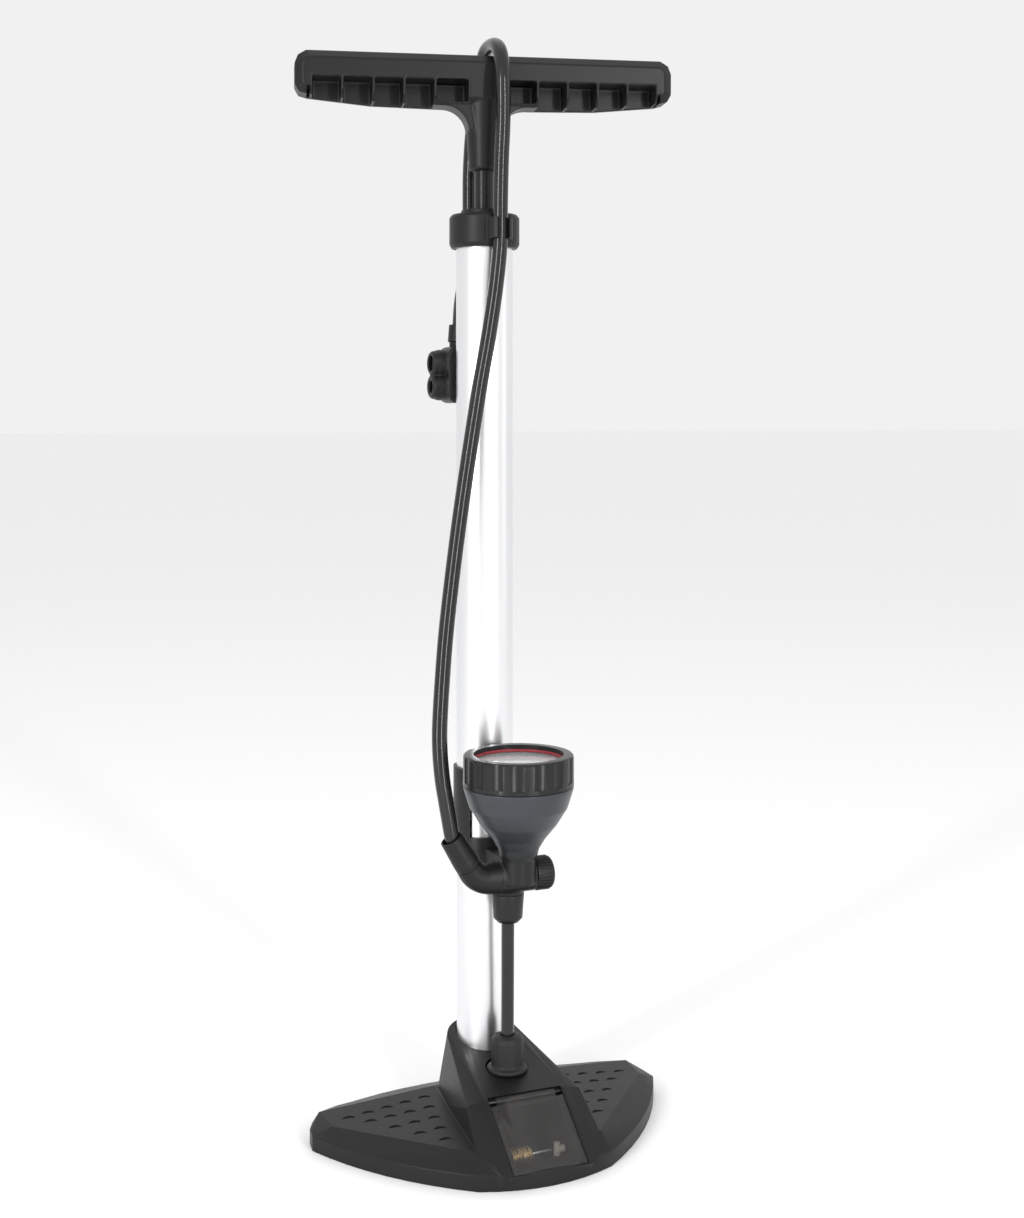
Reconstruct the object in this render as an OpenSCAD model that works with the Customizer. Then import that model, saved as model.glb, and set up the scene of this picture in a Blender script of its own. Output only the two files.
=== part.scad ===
// Floor bike pump with a two-wing base, a barrel with a sliding T-handle,
// an upward-facing pressure gauge and a long air hose stowed over the handle.
// Millimetres, +Z up, front towards -Y, origin on the floor under the barrel's axis.

/* [Barrel] */
// Outer diameter of the barrel
barrel_d = 35.6; // [32:0.1:40]
// Wall of the barrel
barrel_wall = 1.6; // [1.2:0.1:2.5]
// Height of the barrel's top end above the floor
barrel_top = 560; // [440:1:680]
// Diameter of the piston rod
rod_d = 12.4; // [9:0.1:15]

/* [Collar] */
// Diameter of the collar on the barrel's top end
collar_d = 44; // [41:0.5:50]
// Height of the collar
collar_h = 21; // [17:0.5:28]

/* [Base] */
// Width of the base across its two wings
base_w = 232; // [180:1:280]
// Height of the upright band round the base
band_h = 9.5; // [7:0.5:13]
// Thickness of the closing plate under the base
plate_t = 2.4; // [1.5:0.1:3.5]
// Distance between neighbouring dimples on a wing
dimple_pitch = 12.6; // [10:0.1:13.5]
// Radius of a half-moon dimple
dimple_r = 4; // [3:0.1:5]

/* [Door] */
// Width of the storage door
door_w = 46.6; // [36:0.2:52]
// Length of the storage door down the slope
door_len = 49; // [40:0.5:50]
// Thickness of the storage door
door_t = 2.2; // [1.6:0.1:3]

/* [Handle] */
// Length of the handle from end to end
handle_len = 236; // [190:1:290]
// Height of the handle at its middle
handle_h = 31.5; // [26:0.5:38]
// Angle that the handle is turned by as it stands parked, in degrees
handle_turn = -14; // [-25:1:25]
// Depth of the handle, front to back
handle_depth = 26; // [22:0.5:30]
// Distance between the ribs of the handle
rib_pitch = 19; // [15:0.5:19.5]
// Thickness of a rib
rib_t = 1.7; // [1.6:0.1:4]

/* [Gauge] */
// Diameter of the gauge's bezel
gauge_d = 67; // [55:0.2:67]
// Height of the bezel
bezel_h = 18.2; // [16:0.2:20]
// Height of the gauge's rim above the floor
gauge_top = 241.5; // [232:0.5:300]
// Diameter of the release knob
knob_d = 20.8; // [18:0.5:24]

/* [Hose] */
// Diameter of the long hose
hose_d = 9.4; // [8:0.1:10]
// Diameter of the short lower hose
lower_hose_d = 7.9; // [6:0.1:9]

/* [Pump head] */
// Radius of the wide valve port
wide_port_r = 4.1; // [3.9:0.05:4.4]
// Radius of the narrow valve port
narrow_port_r = 3.1; // [2.9:0.05:3.4]
// Distance between the two ports
port_pitch = 15; // [13:0.5:17]

/* [Fits] */
// Radial clearance of a sliding or turning fit
run_gap = 0.08; // [0.04:0.01:0.1]
// Clearance between parts that only pass each other
free_gap = 0.4; // [0.3:0.05:0.6]

/* [Hidden] */
$fn = 64;
tiny = 0.01;

// Barrel and rod
barrel_r = barrel_d / 2;
bore_r = barrel_r - barrel_wall;
rod_r = rod_d / 2;
barrel_foot = 10;
plug_h = 20;
seat_gap = 0.05;
plug_top = barrel_foot + plug_h;
piston_z = plug_top + 5;
piston_h = 14;

// Base
tip_y = -9;
back_depth = 47.5;
front_x = 42.4;
front_y = -97;
front_bulge = 9;
side_bulge = 7.5;
wing_tip_z = 14.5;
wing_rise = 0.06;
wing_tip_x = base_w / 2 - 11;
wing_tip_front = -13;
wing_tip_back = 12;
wing_root_x = 30;
wing_front_x = 39.5;
wing_front_y = -87;
tower_r = 24;
tower_foot_r = 31;
tower_z = 50.5;
tower_slope = 12.6;
shelf_y = -65;
shelf_z = 38.5;
shelf_half = 35;
shell_t = 3;
boot_y = -37.5;
boot_seat_z = 43;

// Door and the storage pocket behind it, in a frame that lies on the sloping front face
door_slope = 36.5;
door_gap = 0.5;
door_axis_y = -1.2;
door_axis_z = -2.2;
door_pin_r = 1.1;
door_knuckle_r = 2.2;
pocket_w = door_w - 8;
pocket_len = door_len - 9;
pocket_depth = 40;
pocket_floor = plate_t + 2;

// Collar and clip
collar_z = barrel_top - 10.5;
collar_top = collar_z + collar_h;
boss_r = 15;
boss_h = 3;
clip_x = 0;
clip_y = -collar_d / 2 - 4;

// Handle
neck_z = collar_top + 27.5;
handle_top = neck_z + 70.5;
handle_mid_z = handle_top - handle_h / 2;
handle_end_h = handle_h - 4.5;
neck_r = 10;
neck_top_r = 12.6;
first_rib_x = 32;
fillet_r = 15;
cavity_top_drop = 16;
cavity_back = 5;
cavity_end = handle_len / 2 - 7.5;

// Gauge, bracket and valve block
gauge_y = -(barrel_r + gauge_d / 2 + 3.7);
bezel_z = gauge_top - bezel_h;
cup_r = gauge_d / 2;
cup_rim_r = cup_r - 2.3;
scallops = 16;
scallop_r = 10;
scallop_depth = 0.9;
cup_bottom_z = bezel_z - 45;
block_y = -50;
block_z = 166.4;
block_r = 10;
socket_x = -1.5;
socket_y = -42;
socket_z = 136.4;
socket_len = 17.6;
elbow_x = -12;
knob_x = 11.4;
knob_len = 11.3;
knob_shaft = 9;
ferrule_tilt = 31.8;
ferrule_base = [-30, block_y, 174.8];
bracket_r = barrel_r + 2;
ear_y = bracket_r + 3.1;

elbow_end_r = 8;
socket_r = 9.9;

// Pump head
head_x = -22.5;
head_len = 38;
head_y = 20;
head_depth = 20;
head_z = 453;
head_h = 36.5;
port_z = head_z + 10.5;
head_hose_x = -5.5;
head_hose_y = head_y + 10;
ferrule_top = head_z + head_h + 14;
ferrule_sink = 3.4;
lever_axis_z = head_z + head_h - 6;
lever_len = 46;
lever_t = 5;

// Route of the long hose, from the elbow up the front, through the clip,
// over the handle and down behind the barrel to the pump head
hose_route = [
    [-37.8, -50, 188], [-40.6, -49.8, 193.4], [-42.4, -49, 204], [-44.2, -48, 216], [-46, -47, 229],
    [-46.9, -45.5, 246], [-46.3, -44, 262],
    [-43.7, -41.5, 288], [-40.7, -40, 316], [-35.8, -38, 350], [-30, -36, 386], [-23.2, -34, 424],
    [-15.8, -31.5, 462], [-8.4, -29, 496], [-2.7, -27, 528], [0, -26, 552], [0, -26.5, 575],
    [0, -28, 600], [0.7, -29, 625], [0.9, -28.5, 645], [1.5, -25.5, 660], [2.6, -17.5, 671.2],
    [3.8, -4.5, 676.2], [4.6, 9.4, 674.2], [5.2, 19, 663], [4.2, 23.5, 648], [1.8, 25.5, 625],
    [0.6, 26.5, 600], [0.8, 27.5, 575], [0.6, 28.5, 550], [-2, 29.2, 532], [-4.4, 29.8, 516],
    [-5.5, 30, 497]];
lower_route = [[0, boot_y, 30], [0, boot_y, 50], [0, boot_y - 0.2, 68], [-0.4, boot_y - 1.4, 88],
               [-1, boot_y - 3, 108], [socket_x, socket_y + 0.2, 126], [socket_x, socket_y, 140]];
elbow_bend = 13.1;
elbow_turn = 90 - ferrule_tilt;
elbow_bend_x = ferrule_base[0] + (ferrule_base[2] - block_z) * tan(ferrule_tilt) + elbow_bend * tan(elbow_turn / 2);
elbow_route = [[elbow_x, block_y, block_z], [(elbow_x + elbow_bend_x) / 2, block_y, block_z],
               for (k = [0:4]) let (a = elbow_turn * k / 4)
                   [elbow_bend_x - elbow_bend * sin(a), block_y, block_z + elbow_bend * (1 - cos(a))],
               ferrule_base + 0.1 * [sin(ferrule_tilt), 0, -cos(ferrule_tilt)]];

// ---------- shared functions and shapes ----------

function unit(v) = v / norm(v);

// Point on a smooth curve through the route's points, between points i and i + 1
function on_curve(p, i, t) =
    let (n = len(p) - 1,
         a = p[max(i - 1, 0)], b = p[i], c = p[min(i + 1, n)], d = p[min(i + 2, n)])
    0.5 * (2 * b + (c - a) * t + (2 * a - 5 * b + 4 * c - d) * t * t
           + (3 * b - a - 3 * c + d) * t * t * t);

function smooth_path(p, parts) = concat(
    [for (i = [0 : len(p) - 2], k = [0 : parts - 1]) on_curve(p, i, k / parts)],
    [p[len(p) - 1]]);

function tangent(p, i) = unit(p[min(i + 1, len(p) - 1)] - p[max(i - 1, 0)]);

// Ring of points across the path at point i; across is a direction the path never follows
function ring(p, i, r, across, sides) =
    let (t = tangent(p, i), u = unit(cross(across, t)), v = cross(t, u))
    [for (k = [0 : sides - 1]) p[i] + r * (cos(360 * k / sides) * u + sin(360 * k / sides) * v)];

module tube(path, r, across = [1, 0, 0], sides = 12, r_end = 0) {
    rings = len(path);
    last = (r_end > 0) ? r_end : r;
    polyhedron(
        points = [for (i = [0 : rings - 1]) each ring(path, i, r + (last - r) * i / (rings - 1), across, sides)],
        faces = concat(
            [[for (k = [0 : sides - 1]) k]],
            [for (i = [0 : rings - 2], k = [0 : sides - 1])
                let (a = i * sides + k, b = i * sides + (k + 1) % sides) [a, a + sides, b + sides, b]],
            [[for (k = [sides - 1 : -1 : 0]) (rings - 1) * sides + k]]));
}

// Points along a shallow arc from p to q that stands proud of the straight line by bulge
function bowed(p, q, bulge, steps) =
    let (out = unit([q[1] - p[1], p[0] - q[0]]))
    [for (k = [0 : steps - 1]) let (t = k / steps) p + (q - p) * t + out * bulge * 4 * t * (1 - t)];

// Makes a cosine or sine fuller, so that an ellipse swells towards a rectangle
function fuller(u) = sign(u) * pow(abs(u), 0.84);

function base_outline(inset = 0) =
    let (hx = base_w / 2 - inset, fx = front_x - inset * 0.5, fy = front_y + inset)
    concat(
        [for (a = [0 : 9 : 171]) [hx * fuller(cos(a)), tip_y + (back_depth - inset) * fuller(sin(a))]],
        bowed([-hx, tip_y], [-fx, fy], side_bulge, 8),
        bowed([-fx, fy], [fx, fy], front_bulge, 8),
        bowed([fx, fy], [hx, tip_y], side_bulge, 8));

function wing_z(x) = wing_tip_z + (wing_tip_x - abs(x)) * wing_rise;

module ball_at(p, r = 1) { translate(p - [0, 0, r]) sphere(r, $fn = 16); }

module hollow(r_out, r_in, h) {
    difference() {
        cylinder(r = r_out, h = h);
        translate([0, 0, -tiny]) cylinder(r = r_in, h = h + 2 * tiny);
    }
}

// Puts its children in the frame of the sloping front face: x across, -y down the slope, z outwards
module on_door_face() { translate([0, shelf_y, shelf_z]) rotate([door_slope, 0, 0]) children(); }

// ---------- base ----------

module wing_block() {
    hull() {
        linear_extrude(band_h) polygon(base_outline());
        for (s = [-1, 1]) {
            ball_at([s * (wing_tip_x - 1), wing_tip_front + 1, wing_tip_z]);
            ball_at([s * (wing_tip_x + 0.5), wing_tip_back - 1, wing_tip_z]);
            ball_at([s * wing_front_x, wing_front_y, wing_z(wing_front_x)]);
            ball_at([s * wing_root_x, wing_tip_back - 1, wing_z(wing_root_x)]);
        }
    }
}

module tower_block() {
    hull() {
        translate([0, 0, band_h]) cylinder(r = tower_foot_r, h = 1);
        translate([0, 0, tower_z]) rotate([tower_slope, 0, 0])
            translate([0, 0, -3]) cylinder(r = tower_r, h = 3);
        for (s = [-1, 1]) {
            ball_at([s * shelf_half, shelf_y + 1, shelf_z - 2], 2);
            ball_at([s * (wing_front_x - 1), wing_front_y + 1, wing_z(wing_front_x)]);
        }
        on_door_face() translate([-door_w / 2 - 3, -door_len - 1.5, -6])
            cube([door_w + 6, door_len + 1.5, 6]);
    }
}

module wing_hollow() {
    translate([0, 0, -tiny]) linear_extrude(band_h + 1.5) difference() {
        polygon(base_outline(shell_t + 1));
        translate([-shelf_half - 4, -140]) square([2 * shelf_half + 8, 190]);
    }
}

// Half-moon dimples in a triangle on each wing: a tilted disc cuts deepest at its back edge
module dimples() {
    for (s = [-1, 1], row = [0 : 4], k = [0 : 4 - row]) {
        x = 42 + 2 * row + k * dimple_pitch;
        y = -3 - 15 * row - (row == 0 ? k : 0);
        translate([s * x, y, wing_z(x) + 1]) rotate([-14, 0, 0])
            translate([0, 0, -1]) cylinder(r = dimple_r, h = 4, $fn = 24);
    }
}

module door_space() {
    on_door_face() {
        translate([-door_w / 2 - door_gap, -door_len - door_gap, -door_t - door_gap])
            cube([door_w + 2 * door_gap, door_len + door_gap + door_axis_y + door_t + free_gap, 20]);
        translate([0, door_axis_y, door_axis_z]) rotate([0, 90, 0])
            cylinder(r = door_knuckle_r + free_gap, h = door_w + 2 * door_gap, center = true);
    }
    intersection() {
        on_door_face() translate([-pocket_w / 2, -door_len + 3, -pocket_depth])
            cube([pocket_w, pocket_len, pocket_depth]);
        translate([-pocket_w / 2, -110, pocket_floor]) cube([pocket_w, 100 + shelf_y + 52, 60]);
    }
}

module base_shell() {
    color([0.09, 0.09, 0.1]) difference() {
        union() {
            wing_block();
            tower_block();
        }
        translate([0, 0, -1]) linear_extrude(plate_t + 1 + seat_gap)
            polygon(base_outline(2 - seat_gap));
        wing_hollow();
        dimples();
        door_space();
        translate([0, 0, barrel_foot]) cylinder(r = barrel_r + seat_gap, h = 100);
        translate([0, boot_y, boot_seat_z]) cylinder(r = 13.5, h = 40);
        translate([0, boot_y, 26]) cylinder(r = lower_hose_d / 2 + 0.3, h = 40);
        on_door_face() translate([0, door_axis_y, door_axis_z]) rotate([0, 90, 0])
            cylinder(r = door_pin_r, h = door_w + 8, center = true);
        for (p = screw_spots) translate([p[0], p[1], -1]) cylinder(r = 1.5, h = 12);
    }
}

screw_spots = [[-36.5, -80], [36.5, -80], [-33, 18], [33, 18]];

module base_plate() {
    color([0.07, 0.07, 0.075]) difference() {
        linear_extrude(plate_t) polygon(base_outline(2));
        for (p = screw_spots) {
            translate([p[0], p[1], -1]) cylinder(r = 1.7, h = 10);
            translate([p[0], p[1], -tiny]) cylinder(r = 3.4, h = 1.2);
        }
        for (p = pad_spots) translate([p[0], p[1], -tiny]) cylinder(r = pad_r + 0.1, h = 1 + tiny);
    }
}

pad_r = 9;
pad_spots = [[-94, -7], [94, -7], [0, -88], [-44, -62], [44, -62], [0, 25]];

module base_screws() {
    color([0.5, 0.5, 0.52]) for (p = screw_spots) translate([p[0], p[1], 0.15]) difference() {
        union() {
            cylinder(r = 3.2, h = 1);
            cylinder(r = 1.45, h = 9);
        }
        translate([0, 0, -0.5]) cylinder(r = 1.2, h = 1.2, $fn = 6);
    }
}

module grip_pads() {
    color([0.14, 0.14, 0.14]) for (p = pad_spots) translate([p[0], p[1], 0]) cylinder(r = pad_r, h = 1);
}

// ---------- storage door and what lies behind it ----------

module storage_door() {
    color([0.25, 0.26, 0.28, 0.6]) on_door_face() difference() {
        union() {
            translate([-door_w / 2, -door_len, -door_t])
                cube([door_w, door_len + door_axis_y, door_t]);
            translate([0, door_axis_y, door_axis_z]) rotate([0, 90, 0])
                cylinder(r = door_knuckle_r, h = door_w - 8, center = true);
            translate([-7, -door_len, -tiny]) cube([14, 2.4, 1.2]);
        }
        for (s = [-1, 1]) translate([s * (door_w / 2 - 2) - 2.5, door_axis_y - 3.5, -10])
            cube([5, 10, 20]);
        translate([0, door_axis_y, door_axis_z]) rotate([0, 90, 0])
            cylinder(r = door_pin_r + run_gap, h = door_w + 10, center = true);
    }
}

module door_pin() {
    color([0.6, 0.6, 0.62]) on_door_face() translate([0, door_axis_y, door_axis_z])
        rotate([0, 90, 0]) cylinder(r = door_pin_r, h = door_w + 7.6, center = true);
}

store_y = -82;
store_z = pocket_floor + 5;

module brass_adapter() {
    color([0.72, 0.52, 0.2]) translate([-pocket_w / 2 + 1, store_y, store_z]) rotate([0, 90, 0])
        rotate_extrude() polygon(concat([[0, 0]],
            [for (k = [0 : 4]) each [[4.6, k * 3], [4.6, k * 3 + 1.6], [3.6, k * 3 + 1.9], [3.6, k * 3 + 2.7]]],
            [[3, 15], [0, 15]]));
}

module ball_needle() {
    shaft = pocket_w - 26;
    color([0.75, 0.75, 0.74]) translate([-pocket_w / 2 + 16, store_y, store_z]) rotate([0, 90, 0]) {
        cylinder(r = 0.9, h = shaft);
        translate([0, 0, shaft]) cylinder(r1 = 0.9, r2 = 0.4, h = 1);
    }
}

module tapered_nozzle() {
    color([0.75, 0.72, 0.66]) translate([pocket_w / 2 - 6, store_y, store_z]) {
        rotate([0, 90, 0]) cylinder(r = 2.2, h = 4.5);
        translate([0, 0, -3.5]) cylinder(r1 = 2, r2 = 1.8, h = 7.5);
    }
}

// ---------- barrel, piston and handle ----------

module barrel() {
    color([0.72, 0.73, 0.75]) translate([0, 0, barrel_foot])
        hollow(barrel_r, bore_r, barrel_top - barrel_foot);
}

module foot_plug() {
    color([0.15, 0.15, 0.16]) translate([0, 0, barrel_foot]) difference() {
        cylinder(r = bore_r - seat_gap, h = plug_h);
        translate([0, 0, plug_h - 6]) cylinder(r = 7, h = 7);
        translate([0, 0, plug_h - 12]) cylinder(r = 2.5, h = 20);
    }
}

module check_valve() {
    color([0.6, 0.15, 0.12]) translate([0, 0, plug_top - 5.9]) {
        cylinder(r = 6, h = 1.6);
        translate([0, 0, 1.5]) cylinder(r1 = 3, r2 = 2, h = 2.5);
    }
}

module lower_boot() {
    color([0.08, 0.08, 0.08]) translate([0, boot_y, boot_seat_z]) difference() {
        rotate_extrude() polygon([[0, 0], [12.6, 0], [12.6, 2], [9.9, 3.2], [9.9, 18.5],
                                  [8.6, 20.8], [6, 21.8], [0, 21.8]]);
        translate([0, 0, -1]) cylinder(r = lower_hose_d / 2 + 0.3, h = 30);
    }
}

module lower_hose() { color([0.05, 0.05, 0.05]) tube(smooth_path(lower_route, 2), lower_hose_d / 2); }

module hose_clip() {
    difference() {
        union() {
            translate([0, 0, 0]) cylinder(r = hose_d / 2 + 3, h = 13);
            translate([-5, 0, 0]) cube([10, 12, 13]);
        }
        translate([0, 0, -1]) cylinder(r = hose_d / 2 + 0.5, h = 20);
        translate([-hose_d / 2 + 1, -20, -1]) cube([hose_d - 2, 20, 20]);
    }
}

module collar() {
    color([0.1, 0.1, 0.105]) difference() {
        union() {
            translate([0, 0, collar_z]) rotate_extrude() polygon([
                [0, 0], [collar_d / 2 - 1.5, 0], [collar_d / 2, 2.5], [collar_d / 2, collar_h - 2],
                [collar_d / 2 - 1.5, collar_h], [boss_r, collar_h], [boss_r - 0.5, collar_h + boss_h],
                [0, collar_h + boss_h]]);
            translate([clip_x, clip_y, collar_z + 4]) hose_clip();
        }
        translate([0, 0, collar_z - 1]) cylinder(r = barrel_r + seat_gap, h = barrel_top - collar_z + 1);
        cylinder(r = rod_r + 3.5, h = collar_top + 20);
        translate([clip_x, clip_y, collar_z - 1]) cylinder(r = hose_d / 2 + 0.5, h = 40);
    }
}

module rod_bushing() {
    color([0.16, 0.16, 0.17]) translate([0, 0, barrel_top - 12]) difference() {
        union() {
            cylinder(r = bore_r - seat_gap, h = 12);
            cylinder(r = rod_r + 3.5 - seat_gap, h = collar_top + boss_h - barrel_top + 12);
        }
        translate([0, 0, -1]) cylinder(r = rod_r + run_gap, h = 60);
    }
}

module piston() {
    color([0.2, 0.2, 0.21]) translate([0, 0, piston_z]) difference() {
        cylinder(r = bore_r - run_gap - 0.05, h = piston_h);
        translate([0, 0, -1]) cylinder(r = rod_r - 2 + run_gap, h = 30);
        translate([0, 0, -tiny]) cylinder(r = rod_r + 1.2, h = 3.5);
        translate([0, 0, 5.5]) hollow(bore_r + 1, bore_r - 3, 4);
    }
}

module piston_seal() {
    color([0.1, 0.1, 0.1]) translate([0, 0, piston_z + 5.7])
        hollow(bore_r - 0.05, bore_r - 3 + seat_gap, 3.6);
}

module piston_rod() {
    color([0.11, 0.11, 0.12]) {
        translate([0, 0, piston_z + piston_h + free_gap])
            cylinder(r = rod_r, h = neck_z + 34 - piston_z - piston_h - free_gap);
        translate([0, 0, piston_z + 0.6]) cylinder(r = rod_r - 2, h = piston_h + 2);
        translate([0, 0, piston_z + 0.4]) cylinder(r = rod_r + 0.6, h = 2.7);
    }
}

// Upright outline of the bar, seen from the front
function bar_outline() =
    let (e = handle_len / 2, hh = handle_h / 2, he = hh - 4.5)
    [[-e, -he + 6], [-e + 2.5, -he + 1.5], [-e + 8, -he], [-e * 0.6, -hh + 0.8], [-e * 0.25, -hh],
     [e * 0.25, -hh], [e * 0.6, -hh + 0.8], [e - 8, -he], [e - 2.5, -he + 1.5], [e, -he + 6],
     [e, hh - 8], [e - 2, hh - 3], [e - 7, hh], [-e + 7, hh], [-e + 2, hh - 3], [-e, hh - 8]];

module bar_solid() {
    hull() {
        for (y = [-1, 1]) translate([0, y * (handle_depth / 2 - 5) + 0.5, 0]) rotate([90, 0, 0])
            linear_extrude(1) polygon(bar_outline());
        for (y = [-1, 1]) translate([0, y * (handle_depth / 2) + (y > 0 ? 0 : 1), 0]) rotate([90, 0, 0])
            linear_extrude(1) offset(delta = -5) polygon(bar_outline());
    }
}

// Web under the bar, with a hollow fillet on each side of the neck
module gusset_outline() {
    low = handle_top - handle_h;
    difference() {
        translate([-neck_r - 1 - fillet_r, low - fillet_r]) square([2 * (neck_r + 1 + fillet_r), fillet_r + 4]);
        for (s = [-1, 1]) translate([s * (neck_r + 1 + fillet_r), low - fillet_r]) circle(r = fillet_r);
    }
}

module handle() {
    color([0.07, 0.07, 0.075]) rotate([0, 0, handle_turn]) difference() {
        union() {
            translate([0, 0, handle_mid_z]) bar_solid();
            translate([0, 0, neck_z]) rotate_extrude() polygon([
                [0, 0], [neck_r - 1, 0], [neck_r, 1.5], [neck_r + 1.2, 24], [neck_top_r, 38],
                [neck_top_r, 48], [0, 48]]);
            translate([0, 9, 0]) rotate([90, 0, 0]) linear_extrude(18) gusset_outline();
        }
        for (s = [-1, 1]) scale([s, 1, 1]) handle_cavity();
        translate([0, 0, neck_z - 1]) cylinder(r = rod_r + seat_gap, h = 36);
        translate([0, 0, neck_z + 34]) cylinder(r = 4.6, h = 12);
    }
}

// Pockets of one arm: open to the front and below, closed behind, with ribs left between them
module handle_cavity() {
    top = handle_top - cavity_top_drop;
    low = handle_top - handle_h - 5;
    first = neck_top_r - 1;
    for (k = [-1 : 4]) {
        x0 = (k < 0) ? first : first_rib_x + k * rib_pitch + rib_t / 2;
        x1 = (k == 4) ? cavity_end : first_rib_x + (k + 1) * rib_pitch - rib_t / 2;
        floor_z = (k < 0) ? handle_top - handle_h + 2.5 : low;
        translate([0, cavity_back, 0]) rotate([90, 0, 0]) linear_extrude(handle_depth)
            polygon([[x0, floor_z], [x1, floor_z], [x1, (k == 4) ? top - 9 : top], [x0, top]]);
    }
}

module handle_insert() {
    color([0.6, 0.6, 0.6]) translate([0, 0, neck_z + 34.05]) cylinder(r = 4.5, h = 11.8);
}

// ---------- gauge group ----------

module gauge_bracket() {
    color([0.26, 0.28, 0.29]) difference() {
        union() {
            translate([0, 0, 160]) hollow(bracket_r, barrel_r + seat_gap, 22);
            translate([0, 0, 160]) hollow(bracket_r, barrel_r + seat_gap, 64);
            translate([-7, block_y, 158]) cube([14, -block_y - barrel_r, 18]);
            translate([-4, barrel_r - 1, 164]) cube([8, ear_y - barrel_r + 4.4, 14]);
        }
        translate([0, 0, 150]) cylinder(r = barrel_r + seat_gap, h = 90);
        translate([-15, -40, 182]) cube([60, 44, 60]);
        translate([0, block_y, block_z]) rotate([0, 90, 0]) cylinder(r = block_r + seat_gap, h = 60, center = true);
        translate([socket_x, socket_y, 120]) cylinder(r = socket_r + seat_gap, h = 46 + seat_gap);
        translate([0, gauge_y, 150]) cylinder(r = 10.7, h = 60);
        translate([-0.8, barrel_r - 2, 150]) cube([1.6, 20, 60]);
        translate([0, ear_y, 171]) rotate([0, 90, 0]) cylinder(r = 1.6, h = 20, center = true);
    }
}

module bracket_screw() {
    color([0.5, 0.5, 0.52]) translate([0, ear_y, 171]) rotate([0, 90, 0]) {
        cylinder(r = 1.55, h = 12, center = true);
        translate([0, 0, 4.05]) cylinder(r = 2.9, h = 2.4);
    }
}

module valve_block() {
    color([0.22, 0.235, 0.245]) difference() {
        union() {
            translate([elbow_x, block_y, block_z]) rotate([0, 90, 0]) cylinder(r = block_r, h = knob_x - elbow_x - 0.4);
            translate([socket_x, socket_y, socket_z + socket_len]) cylinder(r = socket_r, h = 12);
            translate([0, gauge_y, block_z - 3]) cylinder(r = 10.4, h = cup_bottom_z - block_z + 3);
        }
        translate([socket_x, socket_y, 130]) cylinder(r = 2.2, h = 36);
        translate([knob_x - knob_shaft - 0.2, block_y, block_z]) rotate([0, 90, 0])
            cylinder(r = 3 + run_gap, h = 30);
    }
}

module socket_nut() {
    color([0.2, 0.21, 0.22]) translate([socket_x, socket_y, socket_z]) difference() {
        union() {
            cylinder(r1 = 6.6, r2 = 8.9, h = 2.5);
            translate([0, 0, 2.49]) cylinder(r1 = 8.9, r2 = socket_r, h = socket_len - 2.5);
        }
        translate([0, 0, -1]) cylinder(r = lower_hose_d / 2 + 0.3, h = 7.1);
        translate([0, 0, 5]) cylinder(r = 2.2, h = 20);
    }
}

module release_knob() {
    color([0.12, 0.12, 0.125]) translate([knob_x, block_y, block_z]) rotate([0, 90, 0]) difference() {
        union() {
            cylinder(r = knob_d / 2, h = knob_len);
            translate([0, 0, -knob_shaft]) cylinder(r = 3, h = knob_shaft + tiny);
        }
        for (a = [0 : 15 : 345]) rotate(a) translate([knob_d / 2 + 0.5, 0, 1.5]) cylinder(r = 1.1, h = 20, $fn = 6);
    }
}

module gauge_cup() {
    color([0.27, 0.29, 0.3]) translate([0, gauge_y, 0]) difference() {
        rotate_extrude() polygon([
            [0, cup_bottom_z], [10.4, cup_bottom_z], [11.5, cup_bottom_z + 2], [12.6, cup_bottom_z + 6.3],
            [16.4, cup_bottom_z + 12.6], [23.4, cup_bottom_z + 21.1], [cup_r - 3.8, cup_bottom_z + 31.2],
            [cup_r - 0.4, cup_bottom_z + 42], [cup_r, bezel_z - free_gap], [cup_rim_r, bezel_z - free_gap],
            [cup_rim_r, gauge_top - 4.5], [cup_rim_r - 2, gauge_top - 4.5], [cup_rim_r - 2, gauge_top - 6.5],
            [cup_rim_r - 3, gauge_top - 6.5], [cup_rim_r - 3, bezel_z],
            [cup_r - 6.6, cup_bottom_z + 31.2], [20.4, cup_bottom_z + 22], [13.6, cup_bottom_z + 14.5],
            [8.4, cup_bottom_z + 9], [0, cup_bottom_z + 9]]);
        translate([0, 0, cup_bottom_z - 1]) cylinder(r = 1.8, h = 20);
    }
}

module gauge_movement() {
    color([0.7, 0.55, 0.25]) translate([0, gauge_y, cup_bottom_z + 9.1]) difference() {
        union() {
            cylinder(r = 6, h = 12);
            translate([-11, -7.5, 11.9]) cube([22, 15, gauge_top - cup_bottom_z - 36]);
        }
        translate([0, 0, 15]) cylinder(r = 1.2, h = 60);
    }
}

module needle_post() {
    color([0.75, 0.75, 0.75]) translate([0, gauge_y, gauge_top - 34]) cylinder(r = 1.15, h = 23.5);
}

module dial_plate() {
    color([0.9, 0.9, 0.88]) translate([0, gauge_y, gauge_top - 13.4]) hollow(cup_rim_r - 3.05, 1.4, 1.2);
}

module gauge_needle() {
    color([0.7, 0.1, 0.08]) translate([0, gauge_y, gauge_top - 11.8]) difference() {
        union() {
            cylinder(r = 3, h = 2.6);
            translate([-1, 0, 0.6]) rotate([0, 0, 0]) linear_extrude(0.8)
                polygon([[0, -8], [2, -8], [1.3, 22], [0.7, 22]]);
        }
        translate([0, 0, -1]) cylinder(r = 1.15 + run_gap, h = 2.5);
    }
}

module gauge_lens() {
    color([0.8, 0.85, 0.88, 0.35]) translate([0, gauge_y, gauge_top - 6.45]) cylinder(r = cup_rim_r - 2.05, h = 1.9);
}

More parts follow.
